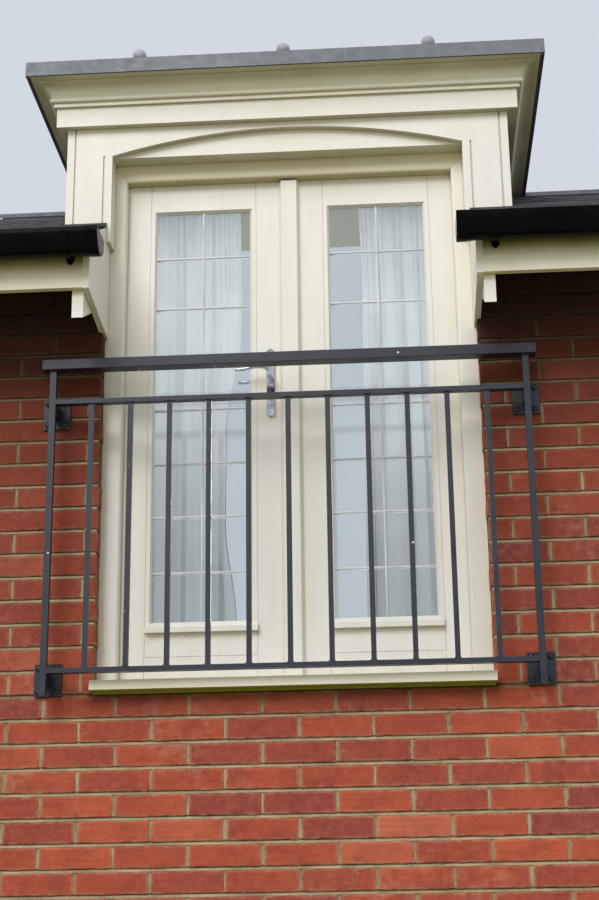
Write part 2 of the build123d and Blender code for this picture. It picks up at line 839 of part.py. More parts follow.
def main():
    slope_cut = below_slates()
    sill = sill_solid()
    make_wall()
    make_inner_plaster()
    save("door_sill", sill)
    make_threshold()
    make_frame(sill)
    make_leaves()
    make_furniture()
    make_pilasters()
    make_arch()
    make_frieze(slope_cut)
    make_cornice(slope_cut)
    make_dormer_roof(slope_cut)
    make_cheeks()
    make_main_roof()
    make_eaves()
    make_gutters()
    make_balcony()
    make_curtains()


main()
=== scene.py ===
import json
import math
import random

import bmesh
import bpy
from mathutils import Matrix, Vector, noise

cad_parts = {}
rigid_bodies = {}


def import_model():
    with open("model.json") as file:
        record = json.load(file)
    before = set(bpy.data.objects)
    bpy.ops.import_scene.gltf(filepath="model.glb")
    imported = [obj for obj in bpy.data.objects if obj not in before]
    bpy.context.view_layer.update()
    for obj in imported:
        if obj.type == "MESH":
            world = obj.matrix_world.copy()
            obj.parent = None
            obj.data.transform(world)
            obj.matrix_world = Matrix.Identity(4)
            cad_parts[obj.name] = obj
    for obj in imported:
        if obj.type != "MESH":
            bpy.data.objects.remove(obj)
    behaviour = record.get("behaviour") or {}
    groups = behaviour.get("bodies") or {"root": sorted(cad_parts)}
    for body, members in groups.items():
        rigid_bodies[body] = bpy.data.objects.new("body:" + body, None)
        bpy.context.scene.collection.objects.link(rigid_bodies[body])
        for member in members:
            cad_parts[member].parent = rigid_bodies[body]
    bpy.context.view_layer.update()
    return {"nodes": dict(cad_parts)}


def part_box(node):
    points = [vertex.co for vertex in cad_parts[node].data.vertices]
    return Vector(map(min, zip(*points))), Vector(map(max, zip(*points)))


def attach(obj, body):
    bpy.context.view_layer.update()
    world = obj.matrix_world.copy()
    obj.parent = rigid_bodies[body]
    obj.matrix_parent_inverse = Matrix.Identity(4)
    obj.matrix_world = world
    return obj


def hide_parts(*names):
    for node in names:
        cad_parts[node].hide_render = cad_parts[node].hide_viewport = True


for spare in list(bpy.data.objects):
    bpy.data.objects.remove(spare)
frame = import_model()
mm = 0.001


def reach(node, corner, axis):
    """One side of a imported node's box, in millimetres; corner is 0 for the low one and 1 for the high one."""
    return round(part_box(node)[corner]["XYZ".index(axis)] / mm, 2)


# Sizes in millimetres that no node's box gives
end_board_thickness = 20
post_size = 20
curtain_head_gap = 1
sill_nose_rise = 6.2

# Sizes in millimetres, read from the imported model
wall_half = reach("wall_piers", 1, "X")
wall_face = reach("wall_piers", 0, "Y")
wall_back = reach("wall_piers", 1, "Y")
sill_bed = reach("wall_piers", 0, "Z")
wall_top = reach("wall_piers", 1, "Z")
half_doorway = reach("frame_jambs", 1, "X")
end_board_inner = reach("eaves_end_boards", 1, "X") - end_board_thickness
pilaster_outer = reach("pilasters", 1, "X")
surround_face = reach("pilasters", 0, "Y")
deck_meets_slates = reach("cornice", 1, "Y")
eaves_front = reach("slates", 0, "Y")
ridge_depth = reach("slates", 1, "Y")
ridge_height = reach("slates", 1, "Z")
glass_front = reach("door_glass", 0, "Y")
glass_back = reach("door_glass", 1, "Y")
glass_foot = reach("door_glass", 0, "Z")
glass_top = reach("door_glass", 1, "Z")
glass_outer = reach("door_glass", 1, "X")
post_centre = reach("balcony_posts", 1, "X") - post_size / 2
bracket_foot = reach("wall_brackets", 0, "Z")
bracket_top = reach("wall_brackets", 1, "Z")
bar_front = reach("balusters", 0, "Y")
bar_back = reach("balusters", 1, "Y")
rail_foot = reach("balusters", 0, "Z")
rail_under = reach("balusters", 1, "Z")
curtain_top = reach("left_curtain", 1, "Z") - curtain_head_gap
sill_half = reach("door_sill", 1, "X")
sill_nose = sill_bed + sill_nose_rise

# Sizes in millimetres that belong to the finer pieces
course = 75
joint = 10
brick_pitch = 225
perpend_start = -769.5
brick_depth = 102.5
core_recess = 9
perpend_recess = 4.6
inner_leaf_front = 42.5
narrowest_cut = 20
plain_brick = 30
face_step, face_rise = 26, 20
arris_step, arris_width = 3, 9
arris_set_back = {0: 2.6, 1: 0.5}
arris_wear = {0: 1.0, 1: 0.5}
face_recess, face_swell, face_grain = 0.8, 0.7, 0.4
rim_slip = 2.2
end_out, end_in = 2.4, 1.2
brick_set_back = 1.0
wall_end_zone = 5
mortar_step = 18
mortar_swell, mortar_grain = 0.8, 0.4
shallowest_mortar = 0.5
mortar_end_gap = 3
mortar_doorway_gap = 2
bed_edge = 8
bed_profile = ((-5.5, 1.8), (-1, 3.6), (3, 6.6), (5.5, 8.4), (bed_edge, perpend_recess))

eaves_height = 2092
roof_slope = (ridge_height - eaves_height) / (ridge_depth - eaves_front)
slate_gauge = 190
slate_width = 250
slate_gap = 4
slate_body = 7
slate_step = 28
narrowest_slate = 30
tail_gap = 2
tail_ragged = 3.0
head_sink = 8
slope_stretch = 1.14
last_tail_gap = 40
under_slate_set_back, under_slate_gap = 4, 2

glass_inner = 118
came_width = 6
came_height = 1.4
came_waver = 0.03
came_step = 60
came_facets = 6
came_across = 294
came_levels = (2173, 1989, 1806, 1628, 1441, 1260, 1075)

plate_thickness = 8
plate_face = wall_face - plate_thickness
plate_half_height = 50
bolt_across = 29
bolt_up = 36
bolt_sides = 20
bolt_profile = (
    (10, 0), (10, 1.6), (8.4, 2.0), (8.2, 3.0), (7.4, 5.0), (5.4, 6.8), (2.6, 7.8), (0.4, 8.0),
)
baluster_size = 16
baluster_count = 11
weld_size = 8
weld_inset = 1
weld_facets = 4

curtain_hem = 733
curtain_middle = 215
curtain_outer = 592
curtain_near, curtain_far = 191, 239
broad_waves, middle_waves, fine_waves = 3.6, 8.5, 22
broad_depth, middle_depth, fine_depth = 15, 4, 4
fold_sway = 7
gather_fade = 7
cloth_across, cloth_down = 300, 50
left_edge = ((2502, 192), (1990, 184), (1640, 236), (1300, 238), (980, 200), (733, 188))
right_edge = ((2502, 228), (2116, 236), (1486, 236), (1000, 232), (733, 230))

brick_seed = 11
slate_seed = 5

# Edges of stains and shade, in metres
sill_shade_fade = 0.02
sill_shade_full, sill_shade_stop, sill_shade_end = 0.004, 0.006, 0.008
wet_edge = 0.0015
drip_start, drip_full = 0.009, 0.008

# The light: the rise of a direction, from -1 to 1, where the ground ends and where the sky begins, the tint
# of both lamps, and the share of light that the cloth lets through
horizon_low, horizon_high = -0.12, 0.02
sun_tint = (1.0, 0.98, 0.94)
cloth_lets_through = 0.75

# The stage and the camera, in metres and radians, with the lens and its sensor in millimetres
floor_half = 9
camera_place = (0.343722, -5.136999, -0.213695)
camera_yaw, camera_pitch, camera_roll = -0.0627431590, 0.319871649, -0.0131401693
camera_lens = 66.047
camera_sensor = 36
camera_clip = 100


def colour(red, green, blue):
    """A colour given as it looks on a screen, from 0 to 255, as the linear value that a shader takes."""
    def linear(part):
        part /= 255
        return part / 12.92 if part <= 0.04045 else ((part + 0.055) / 1.055) ** 2.4
    return linear(red), linear(green), linear(blue), 1


sky_light = colour(210, 217, 227)
shade_light = colour(217, 219, 221)
ground_light = colour(152, 148, 106)


# Building materials

class Finish:
    """A material in the making: its shader, and short calls for the nodes that feed it."""

    def __init__(self, name, roughness=0.5, metallic=0.0, specular=0.5):
        self.material = bpy.data.materials.new(name)
        self.material.use_nodes = True
        self.tree = self.material.node_tree
        self.shader = self.tree.nodes["Principled BSDF"]
        self.shader.inputs["Roughness"].default_value = roughness
        self.shader.inputs["Metallic"].default_value = metallic
        self.shader.inputs["Specular IOR Level"].default_value = specular
        self.place = self.tree.nodes.new("ShaderNodeTexCoord").outputs["Object"]

    def feed(self, socket, value):
        if isinstance(value, bpy.types.NodeSocket):
            self.tree.links.new(value, socket)
        else:
            socket.default_value = value

    def stretched(self, x, y, z):
        node = self.tree.nodes.new("ShaderNodeMapping")
        node.inputs["Scale"].default_value = (x, y, z)
        self.tree.links.new(self.place, node.inputs["Vector"])
        return node.outputs["Vector"]

    def noise(self, scale, detail=4, roughness=0.55, place=None):
        node = self.tree.nodes.new("ShaderNodeTexNoise")
        node.inputs["Scale"].default_value = scale
        node.inputs["Detail"].default_value = detail
        node.inputs["Roughness"].default_value = roughness
        self.tree.links.new(place or self.place, node.inputs["Vector"])
        return node.outputs["Fac"]

    def cells(self, scale):
        node = self.tree.nodes.new("ShaderNodeTexVoronoi")
        node.inputs["Scale"].default_value = scale
        self.tree.links.new(self.place, node.inputs["Vector"])
        return node.outputs["Distance"]

    def span(self, value, low, high, start=0.0, end=1.0):
        """value from low to high, laid out from start to end and held there."""
        node = self.tree.nodes.new("ShaderNodeMapRange")
        self.feed(node.inputs["Value"], value)
        for name, number in (("From Min", low), ("From Max", high), ("To Min", start), ("To Max", end)):
            node.inputs[name].default_value = number
        return node.outputs["Result"]

    def maths(self, kind, first, second=0.0):
        node = self.tree.nodes.new("ShaderNodeMath")
        node.operation = kind
        self.feed(node.inputs[0], first)
        self.feed(node.inputs[1], second)
        return node.outputs[0]

    def blend(self, amount, first, second):
        node = self.tree.nodes.new("ShaderNodeMix")
        node.data_type = "RGBA"
        self.feed(node.inputs[0], amount)
        self.feed(node.inputs[6], first)
        self.feed(node.inputs[7], second)
        return node.outputs[2]

    def over(self, base, value, limits, shares, shade):
        """shade laid over base: its share goes through shares as value goes through limits."""
        return self.blend(self.span(value, *limits, *shares), base, shade)

    def ramp(self, value, *stops):
        node = self.tree.nodes.new("ShaderNodeValToRGB")
        band = node.color_ramp
        for index, (position, shade) in enumerate(stops):
            stop = band.elements[index] if index < 2 else band.elements.new(position)
            stop.position = position
            stop.color = shade
        self.feed(node.inputs["Fac"], value)
        return node.outputs["Color"]

    def axis(self, name):
        node = self.tree.nodes.new("ShaderNodeSeparateXYZ")
        self.tree.links.new(self.place, node.inputs[0])
        return node.outputs[name]

    def facing(self, name):
        source = self.tree.nodes.new("ShaderNodeNewGeometry")
        node = self.tree.nodes.new("ShaderNodeSeparateXYZ")
        self.tree.links.new(source.outputs["Normal"], node.inputs[0])
        return node.outputs[name]

    def under_sill(self, depth, share):
        """share on the wall right under the sill, fading to 0 at depth metres below it and at its ends."""
        end, bed = sill_half * mm, sill_bed * mm
        strip = self.span(self.maths("ABSOLUTE", self.axis("X")), end, end + sill_shade_fade, 1.0, 0.0)
        rise = self.span(self.axis("Z"), bed - depth, bed - sill_shade_full, 0.0, share)
        level = self.span(self.axis("Z"), bed + sill_shade_stop, bed + sill_shade_end, 1.0, 0.0)
        return self.maths("MULTIPLY", strip, self.maths("MULTIPLY", rise, level))

    def tag(self, name):
        node = self.tree.nodes.new("ShaderNodeAttribute")
        node.attribute_name = name
        return node.outputs["Fac"]

    def shelter(self, distance):
        """0 in a tight corner and 1 on an open face."""
        node = self.tree.nodes.new("ShaderNodeAmbientOcclusion")
        node.inputs["Distance"].default_value = distance
        node.samples = 8
        return node.outputs["AO"]

    def bump(self, height, strength, distance):
        node = self.tree.nodes.new("ShaderNodeBump")
        node.inputs["Strength"].default_value = strength
        node.inputs["Distance"].default_value = distance
        self.feed(node.inputs["Height"], height)
        self.tree.links.new(node.outputs["Normal"], self.shader.inputs["Normal"])

    def done(self, base, roughness=None):
        self.feed(self.shader.inputs["Base Color"], base)
        if roughness is not None:
            self.feed(self.shader.inputs["Roughness"], roughness)
        return self.material

    def mix(self, amount, first, second):
        """Shows a mix of two shaders."""
        node = self.tree.nodes.new("ShaderNodeMixShader")
        self.feed(node.inputs[0], amount)
        self.tree.links.new(first, node.inputs[1])
        self.tree.links.new(second, node.inputs[2])
        self.tree.links.new(node.outputs[0], self.tree.nodes["Material Output"].inputs["Surface"])


def painted_timber(name, light, dull, algae_and_shade, green=None, wet_foot=None, shaded_drip=None):
    """Old gloss paint: brushed grain, dulled patches, painted shade in hollows and corners, green under ledges.

    The green on downward faces is partly algae and partly painted shade. green is a height in metres, the
    rise to full olive painted shade under an overhang and its share there; wet_foot is the height of a
    ledge's green underside; drip is half the width of a soffit whose ends get a band of painted shade."""
    m = Finish(name, specular=0.4)
    base = m.blend(m.span(m.noise(1.8, 5), 0.35, 0.7), light, dull)
    streaks = m.span(m.noise(1, 3, place=m.stretched(60, 60, 4)), 0.5, 0.8, 0.0, 0.1)
    base = m.blend(streaks, base, colour(190, 178, 146))
    # Painted shade: a warm tint in sheltered hollows and a dark olive-brown in tight corners
    hollow = m.span(m.shelter(0.09), 0.3, 0.95, 0.4, 0.0)
    base = m.blend(hollow, base, colour(224, 212, 168))
    corner = m.span(m.shelter(0.012), 0.2, 0.7, 0.75, 0.0)
    base = m.blend(corner, base, colour(96, 86, 52))
    # Green on downward faces: partly algae, partly painted shade under ledges
    below = m.span(m.facing("Z"), -0.98, -0.6, 1.0, 0.0)
    algae_and_underside_shade = m.maths("MULTIPLY", below, m.span(m.noise(9, 5), 0.3, 0.62, 0.75, 1.0))
    base = m.blend(m.maths("MULTIPLY", algae_and_underside_shade, algae_and_shade), base, colour(122, 112, 50))
    # Olive painted shade below an overhang at the top, rising over depth metres to its share
    if green:
        start, depth, share = green
        ragged = 0.12 * depth
        height = m.maths("ADD", m.axis("Z"), m.span(m.noise(7, 4), 0.3, 0.7, -ragged, ragged))
        base = m.over(base, height, (start, start + depth), (0.0, share), colour(98, 96, 38))
    if wet_foot:
        base = m.over(base, m.axis("Z"), (wet_foot, wet_foot + wet_edge), (1.0, 0.0), colour(144, 142, 42))
    # A dark grey band on the soffit's outer ends, under the lead drip: partly lead, darkened as painted shade
    if shaded_drip:
        band = m.span(m.maths("ABSOLUTE", m.axis("X")), shaded_drip - drip_start, shaded_drip - drip_full)
        base = m.blend(m.maths("MULTIPLY", band, below), base, colour(66, 66, 76))
    specks = m.span(m.noise(240, 2), 0.74, 0.8, 0.0, 0.4)
    base = m.blend(specks, base, colour(140, 128, 100))
    m.bump(m.noise(1, 4, place=m.stretched(200, 200, 14)), 0.07, 0.0006)
    return m.done(base, m.span(m.noise(14, 3), 0.3, 0.7, 0.3, 0.5))


def brick_face():
    """Smooth wire-cut bricks from orange to plum, with scuffs, bloom and mortar on the arrises."""
    m = Finish("brick", roughness=0.88, specular=0.25)
    base = m.ramp(
        m.tag("tone"),
        (0.0, colour(130, 63, 61)),
        (0.25, colour(149, 68, 59)),
        (0.5, colour(168, 76, 57)),
        (0.8, colour(185, 88, 61)),
        (1.0, colour(196, 108, 83)),
    )
    base = m.over(base, m.noise(9, 5, 0.6), (0.4, 0.68), (0.0, 0.5), colour(118, 58, 54))
    drag = m.span(m.noise(1, 4, place=m.stretched(150, 150, 30)), 0.5, 0.75, 0.0, 0.12)
    base = m.blend(drag, base, colour(196, 124, 96))
    scrape = m.span(m.noise(1, 5, place=m.stretched(9, 90, 110)), 0.48, 0.72, 0.0, 0.4)
    base = m.blend(scrape, base, colour(118, 54, 44))
    mottle = m.span(m.noise(45, 6, 0.7), 0.42, 0.72, 0.0, 0.28)
    base = m.blend(mottle, base, colour(198, 112, 80))
    base = m.over(base, m.noise(190, 3), (0.64, 0.72), (0.0, 0.5), colour(84, 44, 38))
    bloom = m.maths("MULTIPLY", m.span(m.noise(5, 5), 0.56, 0.72), m.span(m.noise(45, 4), 0.4, 0.7))
    base = m.blend(m.maths("MULTIPLY", bloom, 0.4), base, colour(204, 166, 148))
    rim = m.maths("MULTIPLY", m.tag("rim"), m.span(m.noise(38, 4), 0.36, 0.64, 0.0, 0.85))
    base = m.blend(rim, base, colour(192, 150, 122))
    # Darker towards the top of the wall; higher up, painted shade cast by the eaves, deepest right under them
    base = m.over(base, m.axis("Z"), (0.4, 1.5), (0.0, 0.52), colour(80, 38, 30))
    base = m.over(base, m.axis("Z"), (1.25, 1.75), (0.0, 0.4), colour(52, 28, 22))
    base = m.over(base, m.axis("Z"), (1.62, 1.92), (0.0, 0.86), colour(30, 20, 14))
    # Painted shadow under the sill
    base = m.blend(m.under_sill(0.09, 0.4), base, colour(44, 28, 22))
    m.bump(m.noise(170, 5, 0.65), 0.35, 0.0012)
    return m.done(base)


def mortar_bed():
    m = Finish("mortar", roughness=0.95, specular=0.15)
    base = m.blend(m.span(m.noise(11, 5), 0.35, 0.65), colour(176, 160, 130), colour(140, 124, 98))
    base = m.over(base, m.noise(120, 4), (0.55, 0.7), (0.0, 0.5), colour(194, 178, 146))
    # Painted shade: dark in tight corners, along the brick edges over the joints
    base = m.over(base, m.shelter(0.01), (0.3, 0.9), (0.9, 0.0), colour(62, 48, 34))
    # Darker towards the top of the wall
    base = m.over(base, m.axis("Z"), (0.6, 1.7), (0.0, 0.25), colour(88, 72, 52))
    # Painted shadow under the sill, then an olive band right under it: green growth, darkened as painted shade
    base = m.blend(m.under_sill(0.09, 0.4), base, colour(52, 42, 30))
    base = m.blend(m.under_sill(0.012, 1.0), base, colour(84, 80, 30))
    # Painted shade cast by the eaves, deepest right under them
    base = m.over(base, m.axis("Z"), (1.25, 1.75), (0.0, 0.4), colour(62, 50, 34))
    base = m.over(base, m.axis("Z"), (1.62, 1.92), (0.0, 0.9), colour(30, 24, 16))
    m.bump(m.noise(260, 5, 0.7), 0.6, 0.0016)
    return m.done(base)


def lead_sheet(name, light, dark, under=0.75):
    m = Finish(name, metallic=0.1)
    base = m.blend(m.span(m.noise(5, 5, 0.55), 0.35, 0.68), dark, light)
    runs = m.span(m.noise(1, 4, place=m.stretched(30, 10, 5)), 0.55, 0.78, 0.0, 0.25)
    base = m.blend(runs, base, colour(172, 176, 184))
    base = m.over(base, m.noise(80, 4), (0.62, 0.76), (0.0, 0.35), colour(84, 86, 92))
    # Painted shade: downward faces darkened, by the share under
    base = m.over(base, m.facing("Z"), (-0.95, -0.5), (under, 0.0), colour(38, 38, 42))
    m.bump(m.noise(18, 4), 0.2, 0.003)
    return m.done(base, m.span(m.noise(30, 4), 0.3, 0.7, 0.45, 0.7))


def slate_face():
    m = Finish("slate", specular=0.4)
    base = m.ramp(
        m.tag("tone"),
        (0.0, colour(40, 41, 47)),
        (0.5, colour(54, 54, 61)),
        (1.0, colour(72, 71, 77)),
    )
    base = m.over(base, m.noise(18, 6, 0.65), (0.45, 0.7), (0.0, 0.6), colour(48, 48, 52))
    lichen = m.span(m.noise(40, 5, 0.7), 0.65, 0.72, 0.0, 0.5)
    base = m.blend(lichen, base, colour(132, 134, 118))
    m.bump(m.noise(1, 6, 0.7, m.stretched(60, 160, 160)), 0.5, 0.002)
    return m.done(base, m.span(m.noise(40, 3), 0.3, 0.7, 0.5, 0.8))


def coated_metal(name, light, dark):
    m = Finish(name)
    base = m.blend(m.span(m.noise(5, 4), 0.35, 0.7), dark, light)
    # Painted shade: downward faces darkened to near black
    base = m.over(base, m.facing("Z"), (-1.0, -0.5), (0.85, 0.0), colour(13, 13, 16))
    dust = m.maths("MULTIPLY", m.span(m.facing("Z"), 0.5, 1.0), m.span(m.noise(40, 5), 0.4, 0.7, 0.2, 0.8))
    base = m.blend(m.maths("MULTIPLY", dust, 0.5), base, colour(130, 132, 132))
    chips = m.span(m.cells(30), 0.1, 0.13, 1.0, 0.0)
    rare = m.span(m.noise(11, 2), 0.62, 0.64)
    base = m.blend(m.maths("MULTIPLY", chips, rare), base, colour(205, 205, 200))
    m.bump(m.noise(900, 3), 0.1, 0.0004)
    return m.done(base, m.span(m.noise(20, 3), 0.3, 0.7, 0.32, 0.48))


def gutter_plastic():
    m = Finish("black_plastic", specular=0.06)
    base = m.blend(m.span(m.noise(8, 5), 0.4, 0.7), colour(3, 3, 3), colour(9, 8, 8))
    dust = m.maths("MULTIPLY", m.span(m.facing("Z"), 0.6, 1.0), m.span(m.noise(30, 5), 0.35, 0.7))
    base = m.blend(m.maths("MULTIPLY", dust, 0.5), base, colour(76, 72, 62))
    m.bump(m.noise(120, 3), 0.06, 0.0005)
    return m.done(base, m.span(m.noise(16, 4), 0.3, 0.7, 0.14, 0.34))


def polished_metal():
    m = Finish("chrome", metallic=1.0)
    base = m.blend(m.span(m.noise(40, 4), 0.4, 0.7), colour(206, 207, 212), colour(158, 159, 166))
    m.bump(m.noise(500, 3), 0.04, 0.0004)
    return m.done(base, m.span(m.noise(90, 4), 0.35, 0.7, 0.06, 0.2))


def clear_glass():
    """Sealed panes, faintly grey, that let the sun through to what hangs behind them."""
    m = Finish("glass", roughness=0.01)
    m.shader.inputs["Transmission Weight"].default_value = 1.0
    m.shader.inputs["IOR"].default_value = 1.52
    m.shader.inputs["Coat Weight"].default_value = 1.0
    m.shader.inputs["Coat IOR"].default_value = 1.6
    m.shader.inputs["Coat Roughness"].default_value = 0.01
    m.done(m.blend(m.span(m.noise(3, 4), 0.4, 0.7), colour(222, 228, 227), colour(214, 220, 220)))
    clear = m.tree.nodes.new("ShaderNodeBsdfTransparent")
    lamps = m.tree.nodes.new("ShaderNodeLightPath").outputs["Is Shadow Ray"]
    m.mix(lamps, m.shader.outputs[0], clear.outputs[0])
    return m.material


def woven_cloth():
    m = Finish("curtain", roughness=0.95, specular=0.1)
    m.shader.inputs["Sheen Weight"].default_value = 0.3
    base = m.blend(m.span(m.noise(6, 4), 0.35, 0.7), colour(245, 247, 248), colour(233, 237, 240))
    weave = m.maths(
        "MULTIPLY",
        m.noise(1, 1, place=m.stretched(1800, 200, 300)),
        m.noise(1, 1, place=m.stretched(300, 200, 1800)),
    )
    base = m.over(base, weave, (0.2, 0.4), (0.0, 0.15), colour(206, 212, 220))
    # Painted shade and reflection: the cloth darkens towards the hem
    base = m.over(base, m.axis("Z"), (1.2, 2.1), (0.6, 0.0), colour(108, 116, 119))
    m.bump(weave, 0.25, 0.0006)
    m.done(base)
    through = m.tree.nodes.new("ShaderNodeBsdfTranslucent")
    m.tree.links.new(base, through.inputs["Color"])
    m.mix(cloth_lets_through, m.shader.outputs[0], through.outputs[0])
    return m.material


def matt_wall(name, light, dark):
    m = Finish(name, roughness=0.9, specular=0.2)
    base = m.blend(m.span(m.noise(4, 5), 0.35, 0.7), light, dark)
    m.bump(m.noise(130, 5, 0.65), 0.25, 0.0012)
    return m.done(base)


def sawn_timber():
    m = Finish("bare_timber", roughness=0.8, specular=0.25)
    grain = m.noise(1, 6, 0.7, m.stretched(30, 6, 60))
    base = m.ramp(
        grain, (0.3, colour(120, 92, 60)), (0.5, colour(158, 124, 84)), (0.7, colour(182, 150, 106))
    )
    base = m.over(base, m.noise(8, 4), (0.55, 0.75), (0.0, 0.5), colour(92, 74, 54))
    m.bump(grain, 0.3, 0.001)
    return m.done(base)


# Building meshes

def new_piece(name, mesh_builder, material, smooth=False):
    mesh = bpy.data.meshes.new(name)
    bm = bmesh.new()
    mesh_builder(bm)
    bmesh.ops.recalc_face_normals(bm, faces=bm.faces)
    bm.to_mesh(mesh)
    bm.free()
    for face in mesh.polygons:
        face.use_smooth = smooth
    piece = bpy.data.objects.new(name, mesh)
    bpy.context.scene.collection.objects.link(piece)
    mesh.materials.append(material)
    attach(piece, "root")
    return piece


def box(bm, lo, hi):
    corners = [bm.verts.new((x * mm, y * mm, z * mm)) for x in (lo[0], hi[0]) for y in (lo[1], hi[1])
               for z in (lo[2], hi[2])]
    for loop in ((0, 1, 3, 2), (4, 6, 7, 5), (0, 4, 5, 1), (2, 3, 7, 6), (0, 2, 6, 4), (1, 5, 7, 3)):
        bm.faces.new([corners[i] for i in loop])


def wobble(x, y, z, size, seed):
    """Smooth noise about 0 that changes over size millimetres; another seed gives another pattern."""
    return noise.noise(Vector((x / size, y / size, z / size)) + Vector((seed, seed * 1.7, 0)))


# Brickwork

def edge_steps(low, high, step):
    """Places across a brick, close together at both arrises."""
    middle = high - low - 2 * arris_width
    count = max(1, round(middle / step))
    inner = [low + arris_width + middle * i / count for i in range(1, count)]
    return [low, low + arris_step, low + arris_width] + inner + [high - arris_width, high - arris_step, high]


def one_brick(bm, x0, x1, z0, z1, y0, y1, tone):
    """A brick with worn arrises and a slightly uneven face, open at the back."""
    layer = bm.faces.layers.float["tone"]
    border = bm.verts.layers.float["rim"]
    across = edge_steps(x0, x1, face_step) if x1 - x0 > plain_brick else [x0, (x0 + x1) / 2, x1]
    up = edge_steps(z0, z1, face_rise)
    grid = []
    for i, x in enumerate(across):
        column = []
        for k, z in enumerate(up):
            rim = min(i, len(across) - 1 - i, k, len(up) - 1 - k)
            swell = face_swell * wobble(x, y0, z, 30, tone * 9)
            grain = face_grain * wobble(x, y0, z, 8, tone * 5)
            back = arris_set_back.get(rim, 0.0) + (face_recess + swell + grain)
            slip_x = rim_slip * wobble(x, 40, z, 22, tone * 3) if rim == 0 else 0
            slip_z = rim_slip * wobble(x, 80, z, 26, tone * 7) if rim == 0 else 0
            x_at = min(max(x + slip_x, -wall_half), wall_half)
            corner = bm.verts.new((x_at * mm, (y0 + max(back, 0.0)) * mm, (z + slip_z) * mm))
            corner[border] = arris_wear.get(rim, 0.0)
            column.append(corner)
        grid.append(column)
    faces = []
    for i in range(len(across) - 1):
        for k in range(len(up) - 1):
            faces.append(bm.faces.new((grid[i][k], grid[i + 1][k], grid[i + 1][k + 1], grid[i][k + 1])))
    last_x, last_z = len(across) - 1, len(up) - 1
    outline = [grid[i][0] for i in range(last_x)] + [grid[last_x][k] for k in range(last_z)]
    outline += [grid[i][last_z] for i in range(last_x, 0, -1)] + [grid[0][k] for k in range(last_z, 0, -1)]
    back_edge = [bm.verts.new((v.co.x, y1 * mm, v.co.z)) for v in outline]
    for i in range(len(outline)):
        j = (i + 1) % len(outline)
        faces.append(bm.faces.new((outline[i], outline[j], back_edge[j], back_edge[i])))
    for face in faces:
        face[layer] = tone


def brick_spans(n):
    """The bricks of course n, as pairs of ends, cut at the doorway and the ends of the wall."""
    shift = 0 if n % 2 == 0 else brick_pitch / 2
    stretches = [(-wall_half, wall_half)]
    if n * course >= sill_bed:
        stretches = [(-wall_half, -half_doorway), (half_doorway, wall_half)]
    for left, right in stretches:
        u = math.floor((left - perpend_start - shift) / brick_pitch) - 1
        while True:
            x0 = perpend_start + shift + u * brick_pitch + joint / 2
            x1 = x0 + brick_pitch - joint
            u += 1
            if x0 >= right:
                break
            x0 = left if x0 - left < narrowest_cut + joint else x0
            x1 = right if right - x1 < narrowest_cut + joint else x1
            if x1 - x0 >= narrowest_cut:
                yield x0, x1


def build_bricks(bm):
    random.seed(brick_seed)
    bm.faces.layers.float.new("tone")
    bm.verts.layers.float.new("rim")
    for n in range(round(wall_top / course)):
        z0, z1 = n * course + joint / 2, (n + 1) * course - joint / 2
        for x0, x1 in brick_spans(n):
            x0, x1 = x0 + random.uniform(-end_out, end_in), x1 + random.uniform(-end_in, end_out)
            tone = min(max(random.gauss(0.5, 0.17), 0.0), 1.0)
            front = wall_face + random.uniform(0.0, brick_set_back)
            one_brick(bm, x0, x1, z0, z1, front, wall_face + brick_depth, tone)
            if max(abs(x0), abs(x1)) > wall_half - wall_end_zone:
                one_brick(bm, x0, x1, z0, z1, inner_leaf_front, wall_back, tone)


def mortar_rows(n0, n1):
    """Heights and recesses up a stretch of wall: each bed is struck back under the course above."""
    rows = []
    for n in range(n0, n1):
        z = n * course
        for rise, recess in bed_profile:
            rows.append((z + rise, recess))
        rows.append((z + course - bed_edge, perpend_recess))
    return [(z, recess) for z, recess in rows if n0 * course <= z <= n1 * course]


def mortar_sheet(bm, x0, x1, n0, n1):
    count = max(2, round((x1 - x0) / mortar_step))
    rows = []
    for z, recess in mortar_rows(n0, n1):
        row = []
        for i in range(count + 1):
            x = x0 + (x1 - x0) * i / count
            y = wall_face + recess + mortar_swell * wobble(x, recess, z, 35, 3)
            y += mortar_grain * wobble(x, recess, z, 9, 4)
            row.append(bm.verts.new((x * mm, max(y, wall_face + shallowest_mortar) * mm, z * mm)))
        rows.append(row)
    for low, high in zip(rows, rows[1:]):
        for i in range(count):
            bm.faces.new((low[i], low[i + 1], high[i + 1], high[i]))


def build_mortar(bm):
    front, end = wall_face + core_recess, wall_half - mortar_end_gap
    sill_course, top_course = round(sill_bed / course), round(wall_top / course)
    box(bm, (-end, front, 0), (end, wall_back, sill_bed))
    mortar_sheet(bm, -end, end, 0, sill_course)
    for side in (-1, 1):
        near, far = side * (half_doorway + mortar_doorway_gap), side * end
        box(bm, (min(near, far), front, sill_bed), (max(near, far), wall_back, wall_top))
        mortar_sheet(bm, min(near, far), max(near, far), sill_course, top_course)


# Roof slates

def slate_surface(y):
    return eaves_height + roof_slope * (y - eaves_front)


def slate_spans(y, n):
    """The slates of a course whose tails lie at depth y, cut at the dormer."""
    inner = 0 if y > deck_meets_slates else pilaster_outer if y > surround_face else end_board_inner
    shift = (n % 2) * slate_width / 2
    for side in (-1, 1):
        x = inner - shift
        while x < wall_half:
            x0, x1 = max(x + slate_gap / 2, inner), min(x + slate_width - slate_gap / 2, wall_half)
            x += slate_width
            if x1 - x0 > narrowest_slate:
                yield (x0, x1) if side > 0 else (-x1, -x0)


